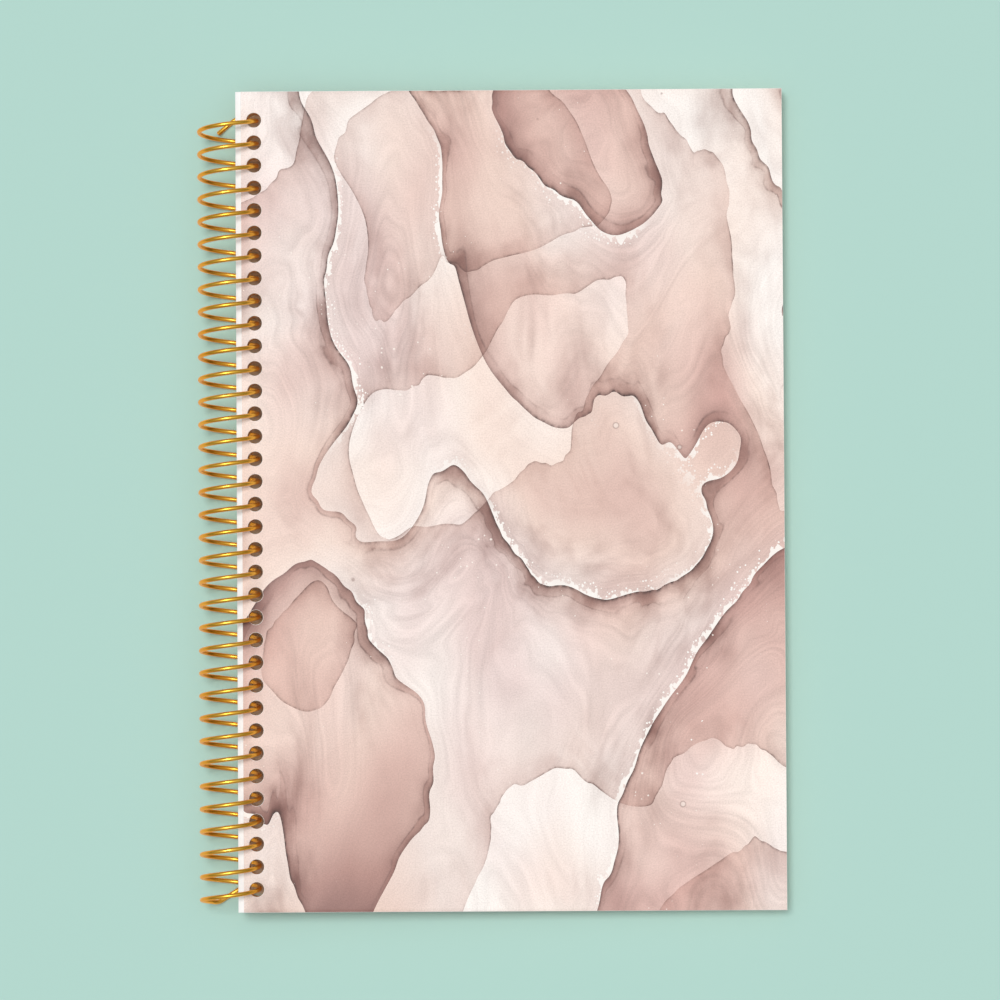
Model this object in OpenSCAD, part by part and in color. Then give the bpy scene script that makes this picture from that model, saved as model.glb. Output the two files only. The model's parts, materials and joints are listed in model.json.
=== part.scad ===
// A spiral notebook lying closed on a table: two card covers and a block of
// pages hang on one wire coil. Millimetres, +Z up, +Y towards the head of the
// book, the coil on the -X side. The origin is on the table, at the middle of
// the footprint.

/* [Pages] */
// Width of a page, from spine edge to fore edge
page_w = 152.4; // [100:0.1:210]
// Height of a page, from head to tail
page_h = 228.6; // [120:0.1:300]
// Thickness of the whole stack of pages
block_t = 5.9; // [3:0.1:8]

/* [Covers] */
// Thickness of the card of each cover
cover_t = 0.5; // [0.3:0.05:1]
// How far the covers stop short of the pages' spine edge
cover_inset = 1.5; // [0:0.1:2.2]
// Air between a cover and the pages
sheet_gap = 0.05; // [0.02:0.01:0.15]

/* [Binding holes] */
// Diameter of a punched hole
hole_d = 4.1; // [3.9:0.05:5]
// Distance from one hole to the next, which is also the coil's pitch
hole_pitch = 6.3; // [5.6:0.01:8.5]
// Distance from the pages' spine edge to the line of hole centres
hole_edge = 5.15; // [4.4:0.05:6]
// Distance from the head of the book to the first hole's centre
head_margin = 8; // [5:0.1:15]
// Least distance from the last hole's centre to the tail of the book
tail_margin = 5; // [4:0.1:15]

/* [Coil] */
// Diameter of the coil, measured at the middle of its wire
coil_d = 16.13; // [15:0.01:20]
// Diameter of the wire
wire_d = 1.2; // [0.9:0.05:1.3]
// Where the wire lies in the front cover's holes, from their centres towards the head
wire_seat = -0.3; // [-0.5:0.05:0]
// Turn of the wire that the end at the head bends across, in degrees
head_bend_turn = 41; // [30:1:55]
// Turn of the wire that the end at the tail bends across, in degrees
tail_bend_turn = 52; // [30:1:55]
// Gap between a bent end's tip and the turn of wire beside it
tip_gap = 0.4; // [0.2:0.05:1]

/* [Hidden] */

// Facets of a punched hole
hole_fn = 48;
// Sides of the wire's section, and rings of it in one turn of the coil
wire_sides = 8;
rings_per_turn = 20;
ring_step = 360 / rings_per_turn;
// Rings along each bent end, and the share of it that the bend itself takes
end_rings = 8;
bend_share = 0.3;
// How far a cut runs past the face it leaves
cut_over = 1;

coil_r = coil_d / 2;
wire_r = wire_d / 2;

// The stack is drawn in the coil's frame: u runs from the coil's axis to the
// fore edge, n is square to the pages, and both are 0 on the axis
stack_half = block_t / 2 + sheet_gap + cover_t;
front_mid_n = stack_half - cover_t / 2;
hole_u = sqrt(coil_r ^ 2 - front_mid_n ^ 2);
spine_u = hole_u - hole_edge;
fore_u = spine_u + page_w;
cover_w = page_w - cover_inset;

// The row of holes runs from the head towards the tail
hole_count = floor((page_h - head_margin - tail_margin) / hole_pitch) + 1;
first_hole_y = page_h / 2 - head_margin;

// The coil is taller than the stack, so the stack leans down from the coil's
// axis until its fore edge meets the table
axis_z = coil_r + wire_r;
stack_tilt = asin(axis_z / norm([fore_u, stack_half])) - atan(stack_half / fore_u);
right_x = fore_u * cos(stack_tilt) + stack_half * sin(stack_tilt);
left_x = -(coil_r + wire_r);
axis_x = -(left_x + right_x) / 2;

// Angles along the wire start from the fore edge's side and grow over the top.
// The wire meets the first hole of the front cover at cross_angle
cross_angle = asin(front_mid_n / coil_r);
head_bend_angle = -ring_step * 4;
tail_bend_angle = 360 * (hole_count - 1) + ring_step * 13;
head_tip_angle = head_bend_angle - head_bend_turn;
tail_tip_angle = tail_bend_angle + tail_bend_turn;

// Place of the plain helix along Y at an angle
function helix_y(angle) = first_hole_y + wire_seat - hole_pitch * (angle - cross_angle) / 360;

// How far each tip leaves the helix so that it stops beside the next turn
tip_room = wire_d + tip_gap;
head_tip_shift = helix_y(head_tip_angle + 360) + tip_room - helix_y(head_tip_angle);
tail_tip_shift = helix_y(tail_tip_angle - 360) - tip_room - helix_y(tail_tip_angle);

// Share of the shift reached at part s of a bent end: a round bend, then straight
function bend(s) =
    (s < bend_share ? s ^ 2 / (2 * bend_share) : s - bend_share / 2) / (1 - bend_share / 2);

// Stations along the wire as [angle, y], from the tip at the head to the tip at the tail
head_end = [
    for (i = [end_rings : -1 : 1])
        let (s = i / end_rings, angle = head_bend_angle - head_bend_turn * s)
        [angle, helix_y(angle) + head_tip_shift * bend(s)]
];
turns = [
    for (angle = [head_bend_angle : ring_step : tail_bend_angle + ring_step / 2])
        [angle, helix_y(angle)]
];
tail_end = [
    for (i = [1 : end_rings])
        let (s = i / end_rings, angle = tail_bend_angle + tail_bend_turn * s)
        [angle, helix_y(angle) + tail_tip_shift * bend(s)]
];
stations = concat(head_end, turns, tail_end);

// Point of the wire's middle line at a station
function on_coil(station) =
    [coil_r * cos(station[0]), station[1], coil_r * sin(station[0])];

function unit(v) = v / norm(v);

// One ring of the wire's section, square to the line at station i
function ring(i) =
    let (
        last = len(stations) - 1,
        ahead = unit(on_coil(stations[min(i + 1, last)]) - on_coil(stations[max(i - 1, 0)])),
        out = [cos(stations[i][0]), 0, sin(stations[i][0])],
        side_a = unit(out - (out * ahead) * ahead),
        side_b = cross(ahead, side_a)
    )
    [
        for (k = [0 : wire_sides - 1])
            let (turn = 360 * k / wire_sides)
            on_coil(stations[i]) + wire_r * (cos(turn) * side_a + sin(turn) * side_b)
    ];

// Sets its children in the coil's frame, leaning with the stack
module in_stack() {
    translate([axis_x, 0, axis_z])
        rotate([0, stack_tilt, 0])
            children();
}

// A sheet or stack of sheets from n_low up, flush with the pages at the fore
// edge, punched with the row of holes
module punched_stack(width, thick, n_low) {
    difference() {
        translate([fore_u - width, -page_h / 2, n_low])
            cube([width, page_h, thick]);
        for (i = [0 : hole_count - 1])
            translate([hole_u, first_hole_y - hole_pitch * i, n_low - cut_over])
                cylinder(d = hole_d, h = thick + 2 * cut_over, $fn = hole_fn);
    }
}

module page_block() {
    color("white")
        in_stack()
            punched_stack(page_w, block_t, -block_t / 2);
}

module front_cover() {
    color([0.87, 0.74, 0.71])
        in_stack()
            punched_stack(cover_w, cover_t, stack_half - cover_t);
}

module back_cover() {
    color([0.93, 0.88, 0.85])
        in_stack()
            punched_stack(cover_w, cover_t, -stack_half);
}

// One length of wire: a ring of points at each station, joined by four-sided
// faces and closed by a face at each tip
module coil() {
    ring_count = len(stations);
    points = [for (i = [0 : ring_count - 1]) each ring(i)];
    walls = [
        for (i = [0 : ring_count - 2], k = [0 : wire_sides - 1])
            let (
                here = i * wire_sides,
                next = here + wire_sides,
                k_next = (k + 1) % wire_sides
            )
            [here + k, here + k_next, next + k_next, next + k]
    ];
    head_face = [for (k = [wire_sides - 1 : -1 : 0]) k];
    tail_face = [for (k = [0 : wire_sides - 1]) (ring_count - 1) * wire_sides + k];
    color([0.85, 0.62, 0.2])
        in_stack()
            polyhedron(points, concat([head_face], walls, [tail_face]), convexity = 10);
}

page_block();
front_cover();
back_cover();
coil();
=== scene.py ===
import json
import math
from functools import partial

import bpy
import numpy as np
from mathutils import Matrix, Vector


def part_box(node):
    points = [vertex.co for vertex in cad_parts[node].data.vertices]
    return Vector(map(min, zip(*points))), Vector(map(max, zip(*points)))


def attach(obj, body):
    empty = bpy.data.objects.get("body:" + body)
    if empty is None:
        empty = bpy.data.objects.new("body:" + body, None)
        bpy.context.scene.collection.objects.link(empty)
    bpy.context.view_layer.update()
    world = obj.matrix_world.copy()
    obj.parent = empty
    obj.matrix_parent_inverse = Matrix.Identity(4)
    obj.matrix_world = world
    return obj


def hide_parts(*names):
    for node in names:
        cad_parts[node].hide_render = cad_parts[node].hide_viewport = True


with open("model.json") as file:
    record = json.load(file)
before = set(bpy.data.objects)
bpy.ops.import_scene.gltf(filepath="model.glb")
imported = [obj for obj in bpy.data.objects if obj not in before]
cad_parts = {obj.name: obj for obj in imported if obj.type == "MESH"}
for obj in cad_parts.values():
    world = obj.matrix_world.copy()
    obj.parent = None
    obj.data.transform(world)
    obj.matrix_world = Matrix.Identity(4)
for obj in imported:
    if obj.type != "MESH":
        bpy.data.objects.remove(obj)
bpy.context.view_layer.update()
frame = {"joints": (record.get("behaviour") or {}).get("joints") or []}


# ---------------------------------------------------------------- page block
# The stack of writing paper that the coil holds: uncoated white sheets, cut
# flush in a guillotine and punched along the spine. The top sheet is ruled.

mm = 0.001
page_w = 152.4 * mm
block_t = 5.9 * mm
cover_t = 0.5 * mm
sheet_gap = 0.05 * mm
cover_inset = 1.5 * mm
hole_r = 2.05 * mm
hole_pitch = 6.3 * mm
hole_edge = 5.15 * mm
head_margin = 8.0 * mm
wire_r = 0.6 * mm

# The coil's axis is the hinge of the covers, and its lowest point is on the table
axis_x, _, axis_z = frame["joints"][0]["pos_m"]
page_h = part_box("page_block")[1].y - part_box("page_block")[0].y
coil_r = axis_z - wire_r
stack_half = block_t / 2 + sheet_gap + cover_t
front_mid_n = stack_half - cover_t / 2
hole_u = math.sqrt(coil_r**2 - front_mid_n**2)
fore_u = hole_u - hole_edge + page_w
stack_tilt = math.asin(axis_z / math.hypot(fore_u, stack_half)) - math.atan(stack_half / fore_u)
hole_count = 35
first_hole_y = page_h / 2 - head_margin
hole_y = first_hole_y - hole_pitch * np.arange(hole_count)
hole_row_mm = (axis_x + hole_u) / mm


def from_stack(points):
    """Turns rows (u, y, n) into points of the frame: u runs from the coil's axis to the fore edge and
    n is square to the sheets; both lean by the stack's tilt about the axis."""
    u, y, n = points[:, 0], points[:, 1], points[:, 2]
    x = axis_x + u * math.cos(stack_tilt) + n * math.sin(stack_tilt)
    z = axis_z - u * math.sin(stack_tilt) + n * math.cos(stack_tilt)
    return np.column_stack([x, y, z])


def make_piece(name, points, faces, materials, material_of, body, node):
    """Builds one mesh object from point rows and groups of faces, smooth but for edges over 35 degrees,
    and sets it on its body in place of its CAD node. `material_of` has one material number a group."""
    mesh = bpy.data.meshes.new(name)
    mesh.from_pydata(points.tolist(), [], [face.tolist() for group in faces for face in group])
    for material in materials:
        mesh.materials.append(material)
    face_material = np.repeat(material_of, [len(group) for group in faces])
    mesh.polygons.foreach_set("material_index", face_material.astype(np.int32))
    mesh.polygons.foreach_set("use_smooth", np.ones(len(mesh.polygons), bool))
    mesh.set_sharp_from_angle(angle=math.radians(35))
    mesh.validate()
    piece = bpy.data.objects.new(name, mesh)
    bpy.context.scene.collection.objects.link(piece)
    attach(piece, body)
    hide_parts(node)
    return piece


def punched_sheet(width, n_low, n_high, rim, punch, columns, lift=None):
    """A flat sheet with the row of round holes, from n_low to n_high and `width` in from the fore edge.

    The face is a grid of u and y lines. Round each hole the grid leaves a square cell one pitch wide,
    and straight spokes join the square's line ends to the hole's circle: a point of the square at
    (c, c tan a) goes with the circle's point at (r cos a, r sin a). `rim` and `punch` are rows of
    (share of the thickness from the bottom, offset): they carry the outline outwards and the circle's
    radius inwards up the edge. `lift` adds to n as a function of u and y.
    Returns the points and the top, bottom, rim and hole faces."""
    spokes = 8
    cell_u, cell_y = 2, 3  # grid lines before the first cell
    half = hole_pitch / 2
    ticks = half * np.tan(np.radians(np.linspace(-45, 45, spokes + 1)))
    u_start, u_end, y_end = fore_u - width, fore_u, page_h / 2
    u_lines = np.concatenate([
        np.linspace(u_start, hole_u - half, cell_u + 1)[:-1],
        hole_u + ticks,
        np.linspace(hole_u + half, u_end, columns)[1:],
    ])
    cells = (hole_y[::-1, None] + ticks[None, :-1]).ravel()
    y_lines = np.concatenate([
        np.linspace(-y_end, cells[0], cell_y + 1)[:-1],
        cells,
        np.linspace(hole_y[0] + half, y_end, cell_y + 1),
    ])
    nu, ny = len(u_lines), len(y_lines)
    grid_u, grid_y = np.meshgrid(u_lines, y_lines, indexing="ij")
    face_points = np.column_stack([grid_u.ravel(), grid_y.ravel()])
    out_u = (grid_u == u_end).astype(float) - (grid_u == u_lines[0])
    out_y = (grid_y == y_lines[-1]).astype(float) - (grid_y == y_lines[0])
    outward = np.column_stack([out_u.ravel(), out_y.ravel()])
    index = np.arange(nu * ny).reshape(nu, ny)

    # Border of the grid, and border of each cell, both anticlockwise seen from above
    border = np.concatenate([index[:-1, 0], index[-1, :-1], index[:0:-1, -1], index[0, :0:-1]])
    step = np.arange(spokes)
    low = cell_y + spokes * np.arange(hole_count)[:, None]
    squares = np.concatenate([
        index[cell_u + spokes, low + step],
        index[cell_u + spokes - step, low + spokes],
        index[cell_u, low + spokes - step],
        index[cell_u + step, low],
    ], axis=1)
    centres = np.column_stack([np.full(hole_count, hole_u), hole_y[::-1]])
    spoke = face_points[squares] - centres[:, None]
    spoke /= np.linalg.norm(spoke, axis=2, keepdims=True)

    # Quads of the plain grid, without the strip of cells
    keep = np.ones((nu - 1, ny - 1), bool)
    keep[cell_u:cell_u + spokes, cell_y:cell_y + spokes * hole_count] = False
    plain = np.stack([index[:-1, :-1], index[1:, :-1], index[1:, 1:], index[:-1, 1:]], axis=2)[keep]
    ring_next = np.roll(np.arange(4 * spokes), -1)

    def layer(share, rim_offset, punch_offset, circles_only=False):
        """Points of the face at one height, with the outline and the circles offset."""
        n = n_low + share * (n_high - n_low)
        flat = face_points + outward * rim_offset
        circles = centres[:, None] + spoke * (hole_r - punch_offset)
        return [np.column_stack([p, np.full(len(p), n)]) for p in (flat, circles.reshape(-1, 2))]

    bottom_flat, bottom_circles = layer(0, rim[0][1], punch[0][1])
    top_flat, top_circles = layer(1, rim[-1][1], punch[-1][1])
    points = [bottom_flat, bottom_circles, top_flat, top_circles]
    count = len(bottom_flat) + len(bottom_circles)
    circle_index = np.arange(len(bottom_circles)).reshape(hole_count, -1) + len(bottom_flat)

    def face_of(shift, flip):
        """Grid quads and spoke quads of one side of the sheet."""
        collar = np.stack([
            squares, squares[:, ring_next], circle_index[:, ring_next], circle_index,
        ], axis=2).reshape(-1, 4)
        quads = np.concatenate([plain, collar]) + shift
        return quads[:, ::-1] if flip else quads

    faces_top = face_of(count, False)
    faces_bottom = face_of(0, True)
    total = 2 * count

    # The outer edge: border loops from the bottom row to the top row
    loops = [border]
    for share, offset in rim[1:-1]:
        rows = layer(share, offset, 0)[0][border]
        points.append(rows)
        loops.append(total + np.arange(len(rows)))
        total += len(rows)
    loops.append(border + count)
    loops = np.array(loops)
    after = np.roll(loops, -1, axis=1)
    faces_rim = np.stack([loops[:-1], after[:-1], after[1:], loops[1:]], axis=2).reshape(-1, 4)

    # The holes' walls, facing their own centres
    loops = [circle_index.ravel()]
    for share, offset in punch[1:-1]:
        rows = layer(share, 0, offset)[1]
        points.append(rows)
        loops.append(total + np.arange(len(rows)))
        total += len(rows)
    loops.append(circle_index.ravel() + count)
    loops = np.array(loops).reshape(len(punch), hole_count, -1)
    after = loops[:, :, ring_next]
    faces_hole = np.stack([loops[:-1], loops[1:], after[1:], after[:-1]], axis=3).reshape(-1, 4)

    points = np.concatenate(points)
    if lift is not None:
        rise = lift(points[:, 0], points[:, 1])
        points[:, 2] += rise
        points[:, 0] -= rise * math.tan(stack_tilt)

    # Points inside the cells belong to no face and are taken out
    faces = [faces_top, faces_bottom, faces_rim, faces_hole]
    used = np.zeros(len(points), bool)
    for group in faces:
        used[group] = True
    renumber = np.cumsum(used) - 1
    return from_stack(points[used]), [renumber[group] for group in faces]


def linear(hex_colour):
    """Linear RGBA of an sRGB hex colour: c / 12.92 below 0.04045, else ((c + 0.055) / 1.055) ^ 2.4."""
    c = np.array([int(hex_colour[i:i + 2], 16) / 255 for i in (1, 3, 5)])
    c = np.where(c <= 0.04045, c / 12.92, ((c + 0.055) / 1.055) ** 2.4)
    return (*c, 1.0)


def plug(tree, node, inputs):
    """Fills a node's inputs: a socket is linked, a value is stored."""
    for key, value in inputs.items():
        if isinstance(value, bpy.types.NodeSocket):
            tree.links.new(value, node.inputs[key])
        else:
            node.inputs[key].default_value = value


def add(tree, kind, inputs=None, stops=None, **settings):
    """Adds one node: settings go on the node itself, values and links on its inputs, and stops on
    its colour ramp."""
    node = tree.nodes.new(kind)
    for name, value in settings.items():
        setattr(node, name, value)
    if stops:
        ramp = node.color_ramp
        while len(ramp.elements) < len(stops):
            ramp.elements.new(0.5)
        for element, (place, colour) in zip(ramp.elements, stops):
            element.position = place
            element.color = linear(colour)
    plug(tree, node, inputs or {})
    return node


def calc(tree, operation, *values):
    """Result of one arithmetic node."""
    return add(tree, "ShaderNodeMath", dict(enumerate(values)), operation=operation).outputs[0]


def span(tree, value, low, high, to_low=0.0, to_high=1.0):
    """Straight ramp from to_low at `low` to to_high at `high`, level beyond both."""
    return add(tree, "ShaderNodeMapRange", {
        "Value": value, "From Min": low, "From Max": high, "To Min": to_low, "To Max": to_high,
    }).outputs[0]


def coat(tree, under, over, strength, mode="MIX"):
    """One colour laid over another."""
    return add(tree, "ShaderNodeMix", {"Factor": strength, "A": under, "B": linear(over)},
               data_type="RGBA", blend_type=mode).outputs["Result"]


def relief(tree, height, strength, depth):
    """Surface direction that follows a height, as deep as `depth` metres."""
    return add(tree, "ShaderNodeBump", {
        "Height": height, "Strength": strength, "Distance": depth}).outputs[0]


def start_material(name):
    """An empty node material, with its tree, its shader and its object coordinates in millimetres."""
    material = bpy.data.materials.new(name)
    material.use_nodes = True
    tree = material.node_tree
    tree.nodes.clear()
    shader = add(tree, "ShaderNodeBsdfPrincipled")
    add(tree, "ShaderNodeOutputMaterial", {"Surface": shader.outputs[0]})
    place = add(tree, "ShaderNodeTexCoord")
    in_mm = add(tree, "ShaderNodeVectorMath", {0: place.outputs["Object"], "Scale": 1000.0},
                operation="SCALE")
    return material, tree, shader, in_mm.outputs[0]


def writing_paper(name, ruled):
    """Uncoated wood-free paper: soft white, no gloss, with a faint cloudy formation about 3 mm wide
    and a felt-side tooth. Ruled sheets carry pale taupe lines 7.1 mm apart, from 6 mm past the holes."""
    material, tree, shader, where = start_material(name)
    cloud = add(tree, "ShaderNodeTexNoise", {"Vector": where, "Scale": 0.35, "Detail": 5.0})
    white = add(tree, "ShaderNodeValToRGB", {"Fac": cloud.outputs["Fac"]},
                stops=[(0.3, "#f8f7f6"), (0.7, "#fcfcfb")])
    colour = white.outputs["Color"]
    if ruled:
        line_gap, first_line_y, last_line_y, past_holes = 7.1, 92.0, -104.0, 6.0
        axes = add(tree, "ShaderNodeSeparateXYZ", {0: where})
        from_line = calc(tree, "PINGPONG", axes.outputs["Y"], line_gap / 2)
        ink = span(tree, from_line, 0.10, 0.20, 1.0, 0.0)
        for inside, value, limit in (
            ("LESS_THAN", axes.outputs["Y"], first_line_y),
            ("GREATER_THAN", axes.outputs["Y"], last_line_y),
            ("GREATER_THAN", axes.outputs["X"], hole_row_mm + past_holes),
        ):
            ink = calc(tree, "MULTIPLY", ink, calc(tree, inside, value, limit))
        colour = coat(tree, colour, "#c9bdb8", ink)
    tooth = add(tree, "ShaderNodeTexNoise", {"Vector": where, "Scale": 5.0, "Detail": 3.0})
    plug(tree, shader, {
        "Base Color": colour, "Roughness": 0.85, "Specular IOR Level": 0.25,
        "Normal": relief(tree, tooth.outputs["Fac"], 0.25, 0.03 * mm)})
    return material


def cut_paper_edge():
    """The guidance side of the stack: paper ends seen on edge, with a fine grey line of painted shade
    for the gap between sheets every 0.12 mm, running along the edge and wavering by up to 0.15 mm."""
    material, tree, shader, where = start_material("cut_paper_edge")
    lean = add(tree, "ShaderNodeMapping", {"Vector": where, "Rotation": (0, -stack_tilt, 0)})
    axes = add(tree, "ShaderNodeSeparateXYZ", {0: lean.outputs[0]})
    waver = add(tree, "ShaderNodeTexNoise", {"Vector": where, "Scale": 0.08, "Detail": 2.0})
    sheet_mm, waver_mm = 0.118, 0.15
    height = calc(tree, "MULTIPLY_ADD", waver.outputs["Fac"], waver_mm, axes.outputs["Z"])
    streak = add(tree, "ShaderNodeTexNoise", {
        "W": calc(tree, "DIVIDE", height, sheet_mm), "Scale": 1.0, "Detail": 1.0}, noise_dimensions="1D")
    # Painted shade: the grey tones stand in for the shade in the gaps between sheets
    shade = add(tree, "ShaderNodeValToRGB", {"Fac": streak.outputs["Fac"]},
                stops=[(0.25, "#d9d5cf"), (0.5, "#f1eeea"), (0.8, "#fbfaf8")])
    plug(tree, shader, {
        "Base Color": shade.outputs["Color"], "Roughness": 0.9, "Specular IOR Level": 0.2,
        "Normal": relief(tree, streak.outputs["Fac"], 0.5, 0.05 * mm)})
    return material


def punched_wall_painted_shade():
    """The inside of the punched holes: white paper ends, painted tan to stand in for the warm shade seen
    down the holes.
    """
    material, tree, shader, where = start_material("punched_wall_painted_shade")
    shade_mottle = add(tree, "ShaderNodeTexNoise", {"Vector": where, "Scale": 2.0, "Detail": 3.0})
    # Painted shade: the tan stands in for the warm shade down the holes; the paper itself is white
    shade = add(tree, "ShaderNodeValToRGB", {"Fac": shade_mottle.outputs["Fac"]},
                stops=[(0.35, "#e2b68c"), (0.65, "#fadab4")])
    plug(tree, shader, {"Base Color": shade.outputs["Color"], "Roughness": 0.9})
    return material


# The outer edge is stepped into leaves of a few sheets, each jogged by up to 0.12 mm; between two
# leaves lies a groove. The die leaves each sheet's hole up to 0.05 mm wider.
rng = np.random.default_rng(7)
leaves = 22
leaf_jog = -rng.uniform(0.0, 0.12, leaves) * mm
groove = 0.07 * mm
groove_share = 0.06
block_rim = []
for leaf in range(leaves):
    for share in (groove_share, 1 - groove_share):
        block_rim.append(((leaf + share) / leaves, leaf_jog[leaf]))
    if leaf < leaves - 1:
        block_rim.append(((leaf + 1) / leaves, min(leaf_jog[leaf], leaf_jog[leaf + 1]) - groove))
block_rim[0] = (0.0, leaf_jog[0])
block_rim[-1] = (1.0, leaf_jog[-1])
punch_rows = 13
punch_jog = -rng.uniform(0.0, 0.05, punch_rows) * mm
block_punch = list(zip(np.linspace(0, 1, punch_rows), punch_jog))

paper_top = writing_paper("ruled_writing_paper", ruled=True)
points, faces = punched_sheet(page_w, -block_t / 2, block_t / 2, block_rim, block_punch, columns=16)
make_piece("ruled_pages", points, faces, [paper_top, cut_paper_edge(), punched_wall_painted_shade()],
           (0, 0, 1, 2), "page_block", "page_block")


# --------------------------------------------------------------- front cover
# A stiff card printed over its whole face with an ink-wash pattern and covered
# with a matt film; its cut edges and its inner face stay white card.


def ink_field(name, seed, size, warp):
    """Group that turns a place in mm into the height of a slow, folded noise: the place is first
    pushed about by a wide noise of `warp` mm and a finer one of a sixth of it. Its level lines are
    the rims that spreading pools of ink leave."""
    group = bpy.data.node_groups.new(name, "ShaderNodeTree")
    group.interface.new_socket("Place", in_out="INPUT", socket_type="NodeSocketVector")
    group.interface.new_socket("Height", in_out="OUTPUT", socket_type="NodeSocketFloat")
    start = add(group, "NodeGroupInput")
    moved = add(group, "ShaderNodeVectorMath", {0: start.outputs[0], 1: seed}, operation="ADD")
    place = moved.outputs[0]
    for reach, push, detail in ((size * 0.75, warp, 1.0), (size * 0.22, warp / 6, 2.0)):
        drift = add(group, "ShaderNodeTexNoise", {"Vector": place, "Scale": 1 / reach, "Detail": detail})
        centred = add(group, "ShaderNodeVectorMath", {
            0: drift.outputs["Color"], 1: (0.5, 0.5, 0.5)}, operation="SUBTRACT")
        pushed = add(group, "ShaderNodeVectorMath", {
            0: centred.outputs[0], 1: (push * 2, push * 2, push * 2), 2: place},
            operation="MULTIPLY_ADD")
        place = pushed.outputs[0]
    height = add(group, "ShaderNodeTexNoise", {"Vector": place, "Scale": 1 / size, "Detail": 0.6})
    add(group, "NodeGroupOutput", {0: height.outputs["Fac"]})
    return group


def pool_rims(tree, group, where, levels):
    """Level lines of an ink field. Returns the level's number, the part of a level above it, the
    distances in mm from the line below and to the line above, and the level itself. A distance is the
    part of a level over the steepness, taken from the field 0.1 mm further along X and along Y."""
    probe, least_slope = 0.1, 0.002
    heights = []
    for shift in ((0, 0, 0), (probe, 0, 0), (0, probe, 0)):
        beside = add(tree, "ShaderNodeVectorMath", {0: where, 1: shift}, operation="ADD")
        field = add(tree, "ShaderNodeGroup", node_tree=group)
        plug(tree, field, {0: beside.outputs[0]})
        heights.append(calc(tree, "MULTIPLY", field.outputs[0], levels))
    level, level_x, level_y = heights
    rise = add(tree, "ShaderNodeCombineXYZ", {
        0: calc(tree, "SUBTRACT", level_x, level), 1: calc(tree, "SUBTRACT", level_y, level)})
    steep = add(tree, "ShaderNodeVectorMath", {0: rise.outputs[0]}, operation="LENGTH")
    per_mm = calc(tree, "MULTIPLY_ADD", steep.outputs["Value"], 1 / probe, least_slope)
    number = calc(tree, "FLOOR", level)
    part = calc(tree, "FRACT", level)
    inside = calc(tree, "DIVIDE", part, per_mm)
    outside = calc(tree, "DIVIDE", calc(tree, "SUBTRACT", 1.0, part), per_mm)
    return number, part, inside, outside, level


def matt_film(tree, shader, where, colour):
    """Matt film over a printed card: a soft gloss with a fine grain of 0.25 mm."""
    grain = add(tree, "ShaderNodeTexNoise", {"Vector": where, "Scale": 4.0, "Detail": 2.0})
    plug(tree, shader, {
        "Base Color": colour, "Roughness": 0.5, "Specular IOR Level": 0.35,
        "Normal": relief(tree, grain.outputs["Fac"], 0.15, 0.02 * mm)})


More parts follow.
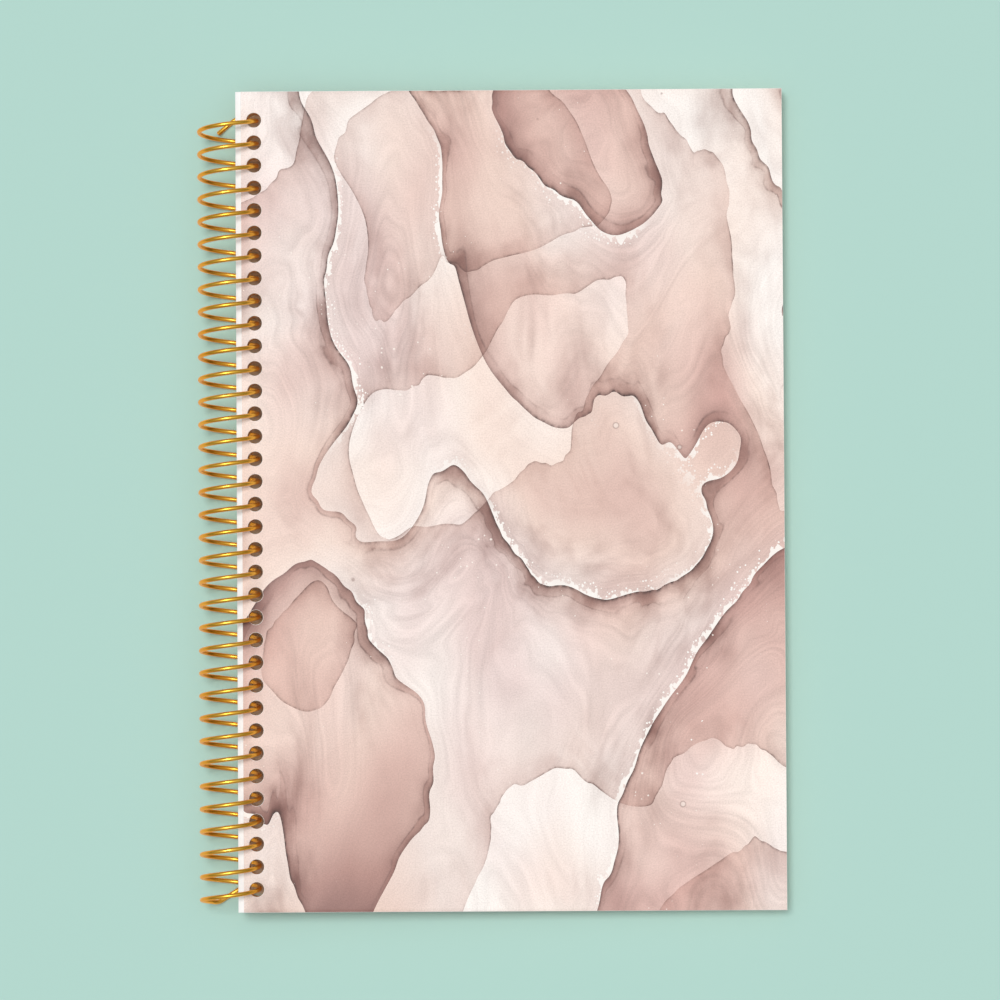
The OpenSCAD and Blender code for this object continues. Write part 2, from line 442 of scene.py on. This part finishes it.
def printed_ink_wash():
    """Alcohol-ink print under matt film: overlapping washes of blush, rose, taupe and cream that ran
    mostly along Y. Each pool has a thin brown rim, a mauve shade inside it and cream grains along its
    outside. The pools are 30 to 90 mm wide, the rims 0.4 mm and the grains 0.3 to 0.6 mm."""
    material, tree, shader, where = start_material("printed_ink_wash_card")
    flat = add(tree, "ShaderNodeVectorMath", {0: where, 1: (1, 1, 0)}, operation="MULTIPLY").outputs[0]
    lean, squeeze = math.radians(16), 0.66
    flow = add(tree, "ShaderNodeMapping", {
        "Vector": flat, "Rotation": (0, 0, lean), "Scale": (1.0, squeeze, 1.0)})
    where = flow.outputs[0]

    wide = ink_field("ink_field_wide", seed=(31.0, 12.0, 4.0), size=88.0, warp=44.0)
    fine = ink_field("ink_field_fine", seed=(210.0, -75.0, 9.0), size=60.0, warp=26.0)
    number, part, inside, outside, level = pool_rims(tree, wide, where, levels=6.5)
    number_b, part_b, inside_b = pool_rims(tree, fine, where, levels=4.5)[:3]

    # Short forms for this material's own tree
    between, math_node, lay = partial(span, tree), partial(calc, tree), partial(coat, tree)

    def falloff(distance, reach, weight, power=1.0):
        """Weight times exp(-(distance / reach) ^ power)."""
        raised = math_node("POWER", math_node("DIVIDE", distance, reach), power)
        decay = math_node("EXPONENT", math_node("MULTIPLY", raised, -1.0))
        return math_node("MULTIPLY", decay, weight)

    def noise(scale, detail, vector=where):
        """Value of a noise with `scale` waves to the millimetre."""
        return add(tree, "ShaderNodeTexNoise", {
            "Vector": vector, "Scale": scale, "Detail": detail}).outputs["Fac"]

    def times(*values):
        """Product of two or more values."""
        product = values[0]
        for value in values[1:]:
            product = math_node("MULTIPLY", product, value)
        return product

    # Colour of each pool: it pales from its lower rim to the next one, over a slow wash
    drift_share, chance_share, fade_share = 0.55, 0.25, 0.25
    chance = add(tree, "ShaderNodeTexWhiteNoise", {"W": number}, noise_dimensions="1D")
    drift = between(noise(0.013, 2.0), 0.34, 0.66)
    tone = math_node("MULTIPLY_ADD", chance.outputs["Value"], chance_share, times(drift, drift_share))
    tone = math_node("MULTIPLY_ADD", math_node("POWER", part, 0.7), fade_share, tone)
    pools = add(tree, "ShaderNodeValToRGB", {"Fac": tone}, stops=[
        (0.08, "#94706a"), (0.22, "#c49e95"), (0.38, "#ebcdc2"), (0.54, "#fbe6da"), (0.78, "#fff7f1")])
    wash = between(noise(0.02, 2.0), 0.45, 0.65, 0.0, 0.8)
    colour = lay(pools.outputs["Color"], "#eadadb", wash, "MULTIPLY")

    # Where along its length a rim is dark, pale or broken
    clouds = noise(0.09, 4.0)
    dark_part = between(noise(0.03, 3.0), 0.38, 0.54, 0.1, 1.0)
    pale_part = between(noise(0.022, 2.0), 0.46, 0.54)
    cloud_part = between(clouds, 0.36, 0.64, 0.05, 1.0)
    broken = between(noise(0.9, 3.0), 0.35, 0.6, 0.25, 1.0)

    # The second layer lies over a little more than half of the print, thinner towards its next rim
    bare_share, layer_strength = 0.45, 0.45
    chance_b = add(tree, "ShaderNodeTexWhiteNoise", {"W": number_b}, noise_dimensions="1D")
    film = times(math_node("GREATER_THAN", chance_b.outputs["Value"], bare_share), layer_strength,
                 math_node("SUBTRACT", 1.2, part_b))
    colour = lay(colour, "#e0c8c1", film, "MULTIPLY")

    # Pigment that gathers inside each rim, wide and then narrow, in clouds
    colour = lay(colour, "#94706a", times(falloff(inside, 8.0, 0.85), dark_part, cloud_part), "MULTIPLY")
    colour = lay(colour, "#a07c75", times(falloff(inside, 1.2, 0.5), dark_part), "MULTIPLY")
    colour = lay(colour, "#b99a93", times(falloff(inside_b, 4.0, 0.4), cloud_part), "MULTIPLY")

    # A second coat that stopped 0.7 to 3.2 mm short of the rim: its band is a little darker and has
    # its own fine line
    stop = math_node("SUBTRACT", inside, between(noise(0.03, 1.0), 0.3, 0.7, 0.7, 3.2))
    in_band = times(math_node("LESS_THAN", stop, 0.0), between(clouds, 0.42, 0.6, 0.0, 0.4))
    colour = lay(colour, "#cfb2aa", in_band, "MULTIPLY")
    coat_line = times(falloff(math_node("ABSOLUTE", stop), 0.22, 0.85, 2.0), cloud_part, broken)
    colour = lay(colour, "#7d5d56", coat_line)

    # Streaks that follow the rims: a noise stretched along the level lines
    streaks_per_level, turns_per_mm = 26.0, 0.05
    axes = add(tree, "ShaderNodeSeparateXYZ", {0: where})
    streamed = add(tree, "ShaderNodeCombineXYZ", {
        0: math_node("MULTIPLY", level, streaks_per_level),
        1: times(axes.outputs["X"], turns_per_mm), 2: times(axes.outputs["Y"], turns_per_mm)})
    streak_gain = between(noise(1.0, 4.0, streamed.outputs[0]), 0.3, 0.7, -0.1, 0.1)
    flowing = times(streak_gain, between(noise(0.018, 1.0), 0.4, 0.6, 0.25, 1.0))

    # Grain of the print, finer than 0.5 mm
    grain = between(noise(2.4, 2.0, flat), 0.25, 0.75, -0.11, 0.11)
    gain = math_node("ADD", math_node("ADD", flowing, grain), 1.0)
    grained = add(tree, "ShaderNodeVectorMath", {0: colour, "Scale": gain}, operation="SCALE")
    colour = grained.outputs[0]

    # The thin brown rims of both layers, broken into short dashes
    colour = lay(colour, "#3f2824", times(falloff(inside, 0.45, 1.0, 2.0), dark_part, broken))
    colour = lay(colour, "#62443d", times(falloff(inside_b, 0.3, 0.95, 2.0), cloud_part, broken))

    # Cream grains along the outside of the pale rims: beads up to 0.6 mm across, which thin out
    # within 2.6 mm, and a ragged line
    beads = add(tree, "ShaderNodeTexVoronoi", {"Vector": flat, "Scale": 1.3}, feature="F1")
    bead_rand = add(tree, "ShaderNodeSeparateColor", {0: beads.outputs["Color"]})
    bead_reach = times(math_node("POWER", bead_rand.outputs[0], 2.0), 2.6)
    bead_near = math_node("LESS_THAN", outside, bead_reach)
    bead = times(bead_near, math_node("LESS_THAN", beads.outputs["Distance"], 0.38))
    width = times(between(noise(0.6, 3.0), 0.36, 0.68), between(noise(0.05, 1.0), 0.38, 0.54), 1.9)
    ragged = between(math_node("SUBTRACT", outside, width), -0.15, 0.0, 0.9, 0.0)
    seam = math_node("MAXIMUM", bead, ragged)
    colour = lay(colour, "#fffaf4", times(seam, pale_part))

    # Loose specks of cream pigment, up to 0.7 mm across, in drifts
    specks = add(tree, "ShaderNodeTexVoronoi", {"Vector": flat, "Scale": 0.6}, feature="F1")
    speck_rand = add(tree, "ShaderNodeSeparateColor", {0: specks.outputs["Color"]})
    speck_r = times(between(speck_rand.outputs[0], 0.6, 1.0, 0.0, 0.2),
                    between(noise(0.025, 2.0), 0.45, 0.65, 0.2, 1.0))
    speck = math_node("LESS_THAN", specks.outputs["Distance"], speck_r)
    colour = lay(colour, "#fff6ec", times(speck, 0.75))

    # Cells where a drop of alcohol fell: a pale spot in a brown ring 0.4 to 2 mm across
    cells_per_mm = 0.055
    cells = add(tree, "ShaderNodeTexVoronoi", {"Vector": flat, "Scale": cells_per_mm}, feature="F1")
    cell_rand = add(tree, "ShaderNodeSeparateColor", {0: cells.outputs["Color"]})
    cell_mm = math_node("DIVIDE", cells.outputs["Distance"], cells_per_mm)
    cell_r = between(cell_rand.outputs[0], 0.5, 1.0)
    pale_spot = times(math_node("LESS_THAN", cell_mm, cell_r), 0.45)
    ring = falloff(math_node("ABSOLUTE", math_node("SUBTRACT", cell_mm, cell_r)), 0.16, 0.55, 2.0)
    colour = lay(colour, "#fff4ea", pale_spot)
    colour = lay(colour, "#8c6b63", times(ring, math_node("GREATER_THAN", cell_r, 0.2)))
    matt_film(tree, shader, where, colour)
    return material


def cover_lift(u, y):
    """The free side of a card rises a little: 0.35 mm times ((u - 0.4 of the width) / rest) squared,
    and up to half of that more towards head and tail."""
    flat_share, free_rise = 0.4, 0.35 * mm
    along = np.clip((u - flat_share * fore_u) / ((1 - flat_share) * fore_u), 0, None)
    return free_rise * along**2 * (1 + 0.5 * (y / (page_h / 2)) ** 2)


# The guillotine rounds the film's edge over by a few hundredths of a millimetre
card_rim = [(0.0, -0.06 * mm), (0.06, -0.02 * mm), (0.16, 0.0), (0.8, 0.0), (0.93, -0.02 * mm),
            (1.0, -0.07 * mm)]
card_punch = [(0.0, -0.02 * mm), (0.1, 0.0), (0.75, 0.0), (0.9, -0.03 * mm), (1.0, -0.1 * mm)]
card_w = page_w - cover_inset
card_columns = 26

print_face = printed_ink_wash()
card_core = writing_paper("white_card_core", ruled=False)
points, faces = punched_sheet(card_w, stack_half - cover_t, stack_half, card_rim, card_punch,
                              card_columns, cover_lift)
make_piece("ink_wash_cover", points, faces, [print_face, card_core], (0, 1, 1, 1),
           "front_cover", "front_cover")


# ---------------------------------------------------------------- back cover
# The same card under the pages, with one plain blush wash on its outer face.


def blush_wash_card():
    """Card with a single even coat of blush ink under matt film: the coat clouds softly over 20 to
    60 mm, with a fine mottle."""
    material, tree, shader, where = start_material("blush_wash_card")
    cloud = add(tree, "ShaderNodeTexNoise", {
        "Vector": where, "Scale": 0.03, "Detail": 3.0, "Distortion": 0.6})
    ink = add(tree, "ShaderNodeValToRGB", {"Fac": cloud.outputs["Fac"]},
              stops=[(0.3, "#dfc4bb"), (0.5, "#e6cfc6"), (0.7, "#eedcd4")])
    mottle = add(tree, "ShaderNodeTexNoise", {"Vector": where, "Scale": 1.1, "Detail": 4.0})
    gain = span(tree, mottle.outputs["Fac"], 0.25, 0.75, 0.97, 1.03)
    mottled = add(tree, "ShaderNodeVectorMath", {0: ink.outputs["Color"], "Scale": gain},
                  operation="SCALE")
    matt_film(tree, shader, where, mottled.outputs[0])
    return material


back_rim = [(1 - share, offset) for share, offset in card_rim[::-1]]
back_punch = [(1 - share, offset) for share, offset in card_punch[::-1]]
points, faces = punched_sheet(card_w, -stack_half, -stack_half + cover_t, back_rim, back_punch,
                              card_columns)
make_piece("blush_back_cover", points, faces, [blush_wash_card(), card_core], (1, 0, 1, 1),
           "back_cover", "back_cover")


# ---------------------------------------------------------------------- coil
# One length of steel wire with a polished brass coat, wound into a helix and
# screwed through the holes; each end is bent in beside the next turn.

rings_per_turn = 60
wire_sides = 16
end_rings = 24
bend_share = 0.3
wire_seat = -0.3 * mm
tip_room = 2 * wire_r + 0.4 * mm
cross_angle = math.degrees(math.asin(front_mid_n / coil_r))
head_bend, head_turn = -72.0, 41.0
tail_bend, tail_turn = 360.0 * (hole_count - 1) + 234.0, 52.0


def helix_y(angle):
    """Place along Y of the plain helix: one pitch towards the tail for each turn."""
    return first_hole_y + wire_seat - hole_pitch * (angle - cross_angle) / 360


def bend(s):
    """Share of the sideways shift at part s of a bent end: s^2 / 2b up to b, then s - b/2,
    over 1 - b/2."""
    return np.where(s < bend_share, s**2 / (2 * bend_share), s - bend_share / 2) / (1 - bend_share / 2)


part = np.linspace(0, 1, end_rings + 1)
head_angle = head_bend - head_turn * part
tail_angle = tail_bend + tail_turn * part
head_shift = helix_y(head_angle[-1] + 360) + tip_room - helix_y(head_angle[-1])
tail_shift = helix_y(tail_angle[-1] - 360) - tip_room - helix_y(tail_angle[-1])
turn_rings = round((tail_bend - head_bend) / 360 * rings_per_turn)
turn_angle = np.linspace(head_bend, tail_bend, turn_rings + 1)
angle = np.concatenate([head_angle[:0:-1], turn_angle, tail_angle[1:]])
along_y = np.concatenate([
    helix_y(head_angle[:0:-1]) + head_shift * bend(part[:0:-1]),
    helix_y(turn_angle),
    helix_y(tail_angle[1:]) + tail_shift * bend(part[1:]),
])
turned = np.radians(angle)
line = np.column_stack([coil_r * np.cos(turned), along_y, coil_r * np.sin(turned)])

# The wire's section is a circle square to the line; the sheared tips are chamfered
ahead = np.gradient(line, axis=0)
ahead /= np.linalg.norm(ahead, axis=1, keepdims=True)
out = np.column_stack([np.cos(turned), np.zeros_like(turned), np.sin(turned)])
out -= (out * ahead).sum(axis=1, keepdims=True) * ahead
out /= np.linalg.norm(out, axis=1, keepdims=True)
side = np.cross(ahead, out)
chamfer = 0.12 * mm
line = np.concatenate([line[:1] - ahead[:1] * chamfer, line, line[-1:] + ahead[-1:] * chamfer])
out = np.concatenate([out[:1], out, out[-1:]])
side = np.concatenate([side[:1], side, side[-1:]])
section_r = np.full(len(line), wire_r)
section_r[[0, -1]] = wire_r - chamfer
around = 2 * np.pi * np.arange(wire_sides) / wire_sides
ring_out = out[:, None] * np.cos(around)[:, None] + side[:, None] * np.sin(around)[:, None]
wire_points = (line[:, None] + section_r[:, None, None] * ring_out).reshape(-1, 3)
rings = len(line)
ring_index = np.arange(rings * wire_sides).reshape(rings, wire_sides)
beside = np.roll(ring_index, -1, axis=1)
wall = np.stack([ring_index[:-1], beside[:-1], beside[1:], ring_index[1:]], axis=2).reshape(-1, 4)
tips = [ring_index[0][::-1], ring_index[-1]]


def polished_brass_wire():
    """Brass-coated spring wire: yellow metal polished by the drawing die, with fine draw lines along
    the wire 0.1 mm apart and slow changes of tone every few centimetres."""
    material, tree, shader, where = start_material("polished_brass_wire")
    straight_wire = add(tree, "ShaderNodeAttribute", attribute_name="straight_wire")
    stretched = add(tree, "ShaderNodeMapping", {
        "Vector": straight_wire.outputs["Vector"], "Scale": (30, 9000, 9000)})
    lines = add(tree, "ShaderNodeTexNoise", {
        "Vector": stretched.outputs[0], "Scale": 1.0, "Detail": 2.0}).outputs["Fac"]
    tone = add(tree, "ShaderNodeTexNoise", {"Vector": where, "Scale": 0.06, "Detail": 2.0})
    brass = add(tree, "ShaderNodeValToRGB", {"Fac": tone.outputs["Fac"]},
                stops=[(0.35, "#f4b841"), (0.65, "#fbc854")])
    drawn = add(tree, "ShaderNodeVectorMath", {
        0: brass.outputs["Color"], "Scale": span(tree, lines, 0.3, 0.7, 0.9, 1.0)}, operation="SCALE")
    plug(tree, shader, {
        "Base Color": drawn.outputs[0], "Metallic": 1.0,
        "Roughness": span(tree, lines, 0.3, 0.7, 0.38, 0.26),
        "Normal": relief(tree, lines, 0.2, 0.01 * mm)})
    return material


coil = make_piece("brass_coil", from_stack(wire_points), [wall, tips], [polished_brass_wire()], (0, 0),
                  "coil", "coil")

# Each point's place along and across the wire as if it were straight, for the draw lines
run = np.concatenate([[0], np.cumsum(np.linalg.norm(np.diff(line, axis=0), axis=1))])
straight = np.stack([
    np.broadcast_to(run[:, None], (rings, wire_sides)),
    np.broadcast_to(wire_r * np.cos(around), (rings, wire_sides)),
    np.broadcast_to(wire_r * np.sin(around), (rings, wire_sides)),
], axis=2)
coil.data.attributes.new("straight_wire", "FLOAT_VECTOR", "POINT").data.foreach_set(
    "vector", straight.astype(np.float32).ravel())


# ------------------------------------------------------- table, light, camera
# A mint table top with a tan strip under the row of holes, a soft key light from
# the head's left, and the camera straight above the closed book.

table_half = 3.0
floor_mesh = bpy.data.meshes.new("table_top")
corners = [(-1, -1), (1, -1), (1, 1), (-1, 1)]
floor_mesh.from_pydata([(x * table_half, y * table_half, 0) for x, y in corners], [], [(0, 1, 2, 3)])
floor = bpy.data.objects.new("table_top", floor_mesh)
bpy.context.scene.collection.objects.link(floor)


def mint_table_top():
    """Plain mint laminate to the camera, except for a tan strip painted under the row of holes, which
    fades out over 5 mm under the book and makes the shade seen down the holes read warm brown; to all
    other rays it is tan and gives tan light, so that neither the holes nor the wire turn green."""
    material, tree, shader, where = start_material("mint_table_top")
    strip_start, strip_end, strip_fade = hole_row_mm - 3.35, hole_row_mm + 2.6, 5
    strip_half = page_h / 2 / mm - 5
    seen_by = add(tree, "ShaderNodeLightPath")
    axes = add(tree, "ShaderNodeSeparateXYZ", {0: where})
    before = calc(tree, "LESS_THAN", axes.outputs["X"], strip_start)
    behind = span(tree, axes.outputs["X"], strip_end, strip_end + strip_fade)
    beyond = span(tree, calc(tree, "ABSOLUTE", axes.outputs["Y"]), strip_half, strip_half + 1)
    clear = calc(tree, "MAXIMUM", calc(tree, "MAXIMUM", before, behind), beyond)
    # Painted shade: the camera sees tan in the strip under the holes, so the shade down each hole reads
    # warm brown
    painted = calc(tree, "MULTIPLY", clear, seen_by.outputs["Is Camera Ray"])
    plug(tree, shader, {
        "Base Color": coat(tree, linear("#e9d4bc"), "#b5d9cf", painted),
        "Roughness": 0.9, "Specular IOR Level": 0.1})
    return material


floor_mesh.materials.append(mint_table_top())

# The room is bright overhead and dim at the sides; the camera sees it as mint
overhead_glow, side_glow = 0.76, 0.17
world = bpy.data.worlds.new("soft_room")
bpy.context.scene.world = world
world.use_nodes = True
sky = world.node_tree
sky.nodes.clear()
path = add(sky, "ShaderNodeLightPath")
towards = add(sky, "ShaderNodeTexCoord")
height = add(sky, "ShaderNodeSeparateXYZ", {0: towards.outputs["Generated"]}).outputs["Z"]
glow = calc(sky, "MULTIPLY_ADD", calc(sky, "MULTIPLY", height, height), overhead_glow, side_glow)
room = add(sky, "ShaderNodeBackground", {"Color": (1, 1, 1, 1), "Strength": glow})
seen = add(sky, "ShaderNodeBackground", {"Color": linear("#b5d9cf"), "Strength": 1.0})
either = add(sky, "ShaderNodeMixShader", {
    0: path.outputs["Is Camera Ray"], 1: room.outputs[0], 2: seen.outputs[0]})
add(sky, "ShaderNodeOutputWorld", {"Surface": either.outputs[0]})

key = bpy.data.lights.new("key", "SUN")
key.energy = 1.43
key.angle = math.radians(20)
key_object = bpy.data.objects.new("key", key)
bpy.context.scene.collection.objects.link(key_object)
key_object.rotation_euler = (math.radians(-10), math.radians(-8), 0)

camera = bpy.data.cameras.new("camera")
camera_object = bpy.data.objects.new("camera", camera)
bpy.context.scene.collection.objects.link(camera_object)
camera.lens = 174.14
camera_object.location = (54.2 * mm, -35.25 * mm, 1.354)
camera_object.rotation_euler = (math.radians(1.487), math.radians(2.207), math.radians(-0.315))
bpy.context.scene.camera = camera_object
bpy.context.scene.view_settings.view_transform = "Standard"
